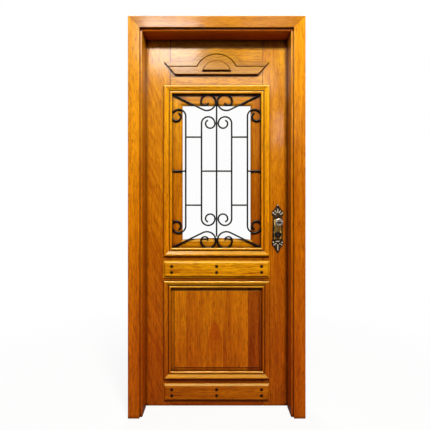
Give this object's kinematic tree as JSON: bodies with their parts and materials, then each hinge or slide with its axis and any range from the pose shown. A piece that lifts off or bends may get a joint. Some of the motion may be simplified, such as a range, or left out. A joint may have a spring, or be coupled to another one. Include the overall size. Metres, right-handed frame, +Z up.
{
  "type": "solid wood door with frame",
  "caption": "Panelled wood entrance door with an arched pediment, a scrolled iron grille over an opening window, a raised lower panel, knobs and a lock, hung in its jamb with flat trims.",
  "frame": {"origin": "On the floor, at the middle of the overall width and depth.", "axes": "+Z up, +X toward the lock side as seen from the outside, +Y from the outside to the inside."},
  "size_m": [0.96, 0.209, 2.175],
  "materials": {
    "frame_wood": "varnished orange-brown wood of the jamb",
    "trim_wood": "varnished golden wood of the flat trims",
    "leaf_wood": "varnished wood of the leaf's frame",
    "panel_wood": "varnished wood of the panel and boards",
    "moulding_wood": "varnished wood of the mouldings and pediment",
    "sash_wood": "varnished wood of the sash",
    "window_glass": "clear window glass",
    "nail_iron": "dark domed iron nails",
    "grille_iron": "black painted wrought iron",
    "plain_steel": "plain steel of the hinges, screws and lock parts",
    "lock_bronze": "aged bronze casting",
    "cylinder_black": "black lock cylinder",
    "cylinder_brass": "brass plug of the lock cylinder"
  },
  "bodies": {
    "frame": {"jamb_left": "frame_wood", "jamb_right": "frame_wood", "jamb_head": "frame_wood", "architrave_front_left": "trim_wood", "architrave_front_right": "trim_wood", "architrave_front_head": "trim_wood", "architrave_back_left": "trim_wood", "architrave_back_right": "trim_wood", "architrave_back_head": "trim_wood", "strike_plate": "plain_steel", "hinge_frame_leaves": "plain_steel", "hinge_pins": "plain_steel", "frame_screws": "plain_steel"},
    "leaf": {"stile_left": "leaf_wood", "stile_right": "leaf_wood", "rail_top": "leaf_wood", "rail_middle": "leaf_wood", "rail_bottom": "leaf_wood", "panel_lower": "panel_wood", "pediment": "moulding_wood", "board_middle": "panel_wood", "board_bottom": "panel_wood", "moulding_upper_top": "moulding_wood", "moulding_upper_bottom": "moulding_wood", "moulding_upper_left": "moulding_wood", "moulding_upper_right": "moulding_wood", "moulding_lower_top": "moulding_wood", "moulding_lower_bottom": "moulding_wood", "moulding_lower_left": "moulding_wood", "moulding_lower_right": "moulding_wood", "mouldings_back": "moulding_wood", "nails": "nail_iron", "grille_centre_bar": "grille_iron", "grille_inner_bars": "grille_iron", "grille_outer_bars": "grille_iron", "grille_corner_scrolls": "grille_iron", "grille_cross_bars": "grille_iron", "hinge_door_leaves": "plain_steel", "leaf_screws": "plain_steel", "sash_hinge_stile_plates": "plain_steel", "lock_case": "plain_steel", "escutcheon_front": "lock_bronze", "escutcheon_back": "lock_bronze", "escutcheon_screws": "lock_bronze", "lock_cylinder": "cylinder_black"},
    "knob_set": {"knob_front": "lock_bronze", "knob_back": "lock_bronze", "knob_spindle": "plain_steel"},
    "latch": {"latch_bolt": "plain_steel"},
    "key_plug": {"cylinder_plug": "cylinder_brass"},
    "bolt": {"deadbolt": "plain_steel"},
    "sash": {"sash_stile_left": "sash_wood", "sash_stile_right": "sash_wood", "sash_rail_top": "sash_wood", "sash_rail_bottom": "sash_wood", "sash_glass": "window_glass", "sash_glazing_beads": "sash_wood", "sash_hinge_sash_plates": "plain_steel", "sash_screws": "plain_steel"},
    "button": {"turn_button": "sash_wood"}
  },
  "joints": [
    {"name": "leaf_swing", "type": "hinge", "parent": "frame", "child": "leaf", "pos_m": [-0.4115, 0.0565, 1.055], "axis": [0, 0, 1], "range_deg": [0, 150]},
    {"name": "knob_turn", "type": "hinge", "parent": "leaf", "child": "knob_set", "pos_m": [0.35, 0.033, 1.057], "axis": [0, 1, 0], "range_deg": [0, 45], "stiffness_Nm_per_rad": 0.5},
    {"name": "latch_slide", "type": "slide", "parent": "leaf", "child": "latch", "axis": [1, 0, 0], "range_m": [-0.011, 0]},
    {"name": "key_turn", "type": "hinge", "parent": "leaf", "child": "key_plug", "pos_m": [0.35, 0.033, 0.987], "axis": [0, 1, 0], "range_deg": [0, 360]},
    {"name": "deadbolt_slide", "type": "slide", "parent": "leaf", "child": "bolt", "axis": [1, 0, 0], "range_m": [0, 0.02]},
    {"name": "sash_swing", "type": "hinge", "parent": "leaf", "child": "sash", "pos_m": [-0.2755, 0.0548, 1.352], "axis": [0, 0, 1], "range_deg": [0, 100]},
    {"name": "button_turn", "type": "hinge", "parent": "leaf", "child": "button", "pos_m": [0.292, 0.053, 1.352], "axis": [0, 1, 0], "range_deg": [0, 90]}
  ],
  "couplings": [
    {"joint": "latch_slide", "follows": "knob_turn", "m_per_rad": -0.014},
    {"joint": "key_turn", "follows": "deadbolt_slide", "rad_per_m": 314}
  ]
}
